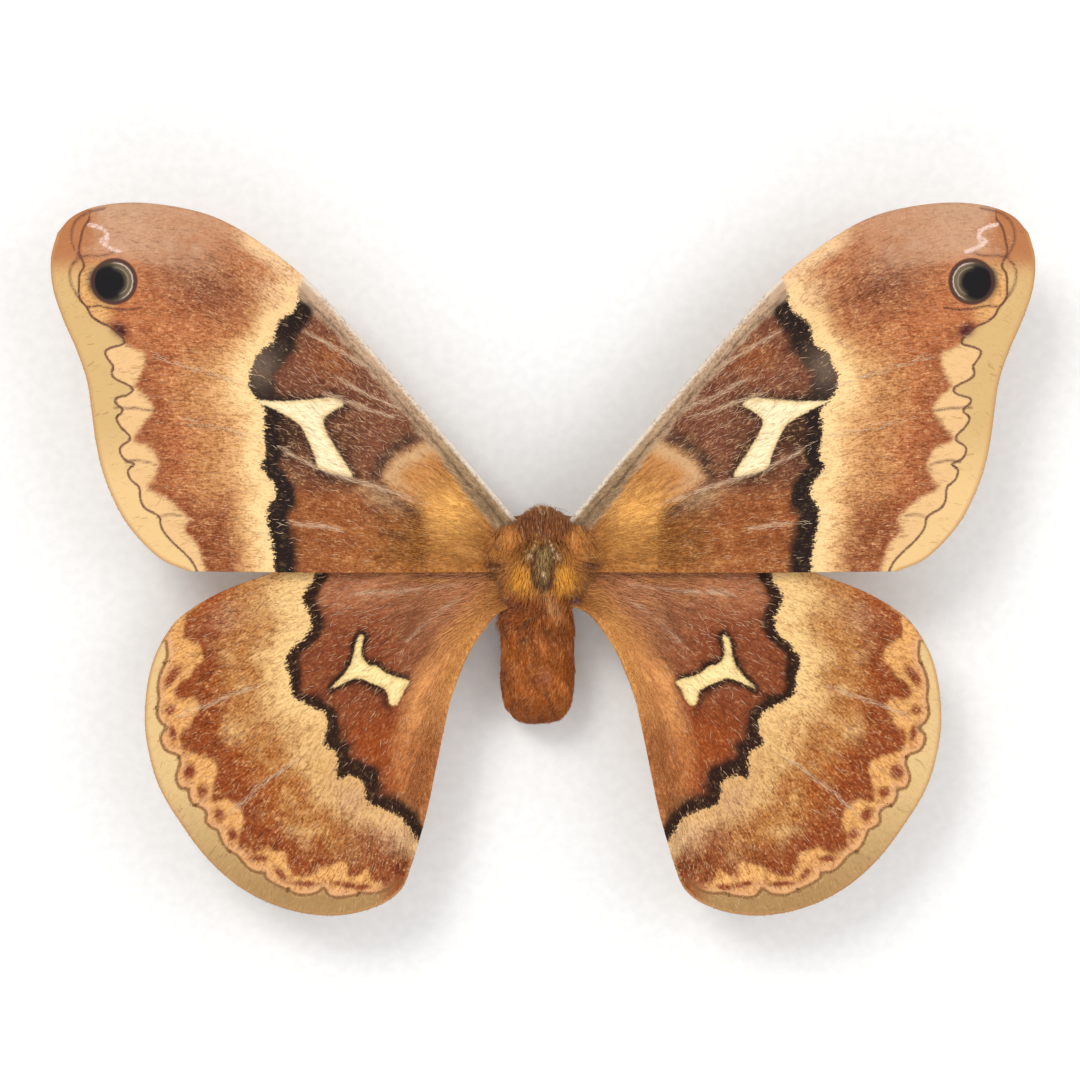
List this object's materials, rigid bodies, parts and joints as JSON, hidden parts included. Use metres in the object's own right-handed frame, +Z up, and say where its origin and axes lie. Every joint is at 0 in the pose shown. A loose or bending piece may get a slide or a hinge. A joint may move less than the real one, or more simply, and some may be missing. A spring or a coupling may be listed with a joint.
{
  "type": "moth model",
  "caption": "Life-size model of a large rust-brown silk moth standing with its broad, banded wings spread flat, its feathery feelers tucked under their front edges.",
  "frame": {"origin": "on the floor, below the middle of the moth's outline seen from above", "axes": "+Y points to the head, +X to the moth's right wing tip, +Z up from the floor it stands on"},
  "size_m": [0.1048, 0.0762, 0.0138],
  "materials": {
    "wing": "powdery scales in rust, tan, cream and black bands",
    "coat": "long soft fur, golden orange to red-brown",
    "abdomen": "short red-brown fur",
    "head": "short dark red-brown fur",
    "eye": "glossy dark brown, finely faceted",
    "antenna": "matt brown with fine barbs",
    "leg": "short red-brown fur"
  },
  "bodies": {
    "root": {"head": "head", "eye_left": "eye", "eye_right": "eye", "antenna_left": "antenna", "antenna_right": "antenna", "thorax": "coat", "abdomen": "abdomen", "forewing_left": "wing", "forewing_right": "wing", "hindwing_left": "wing", "hindwing_right": "wing", "foreleg_left": "leg", "foreleg_right": "leg", "midleg_left": "leg", "midleg_right": "leg", "hindleg_left": "leg", "hindleg_right": "leg"}
  },
  "joints": []
}
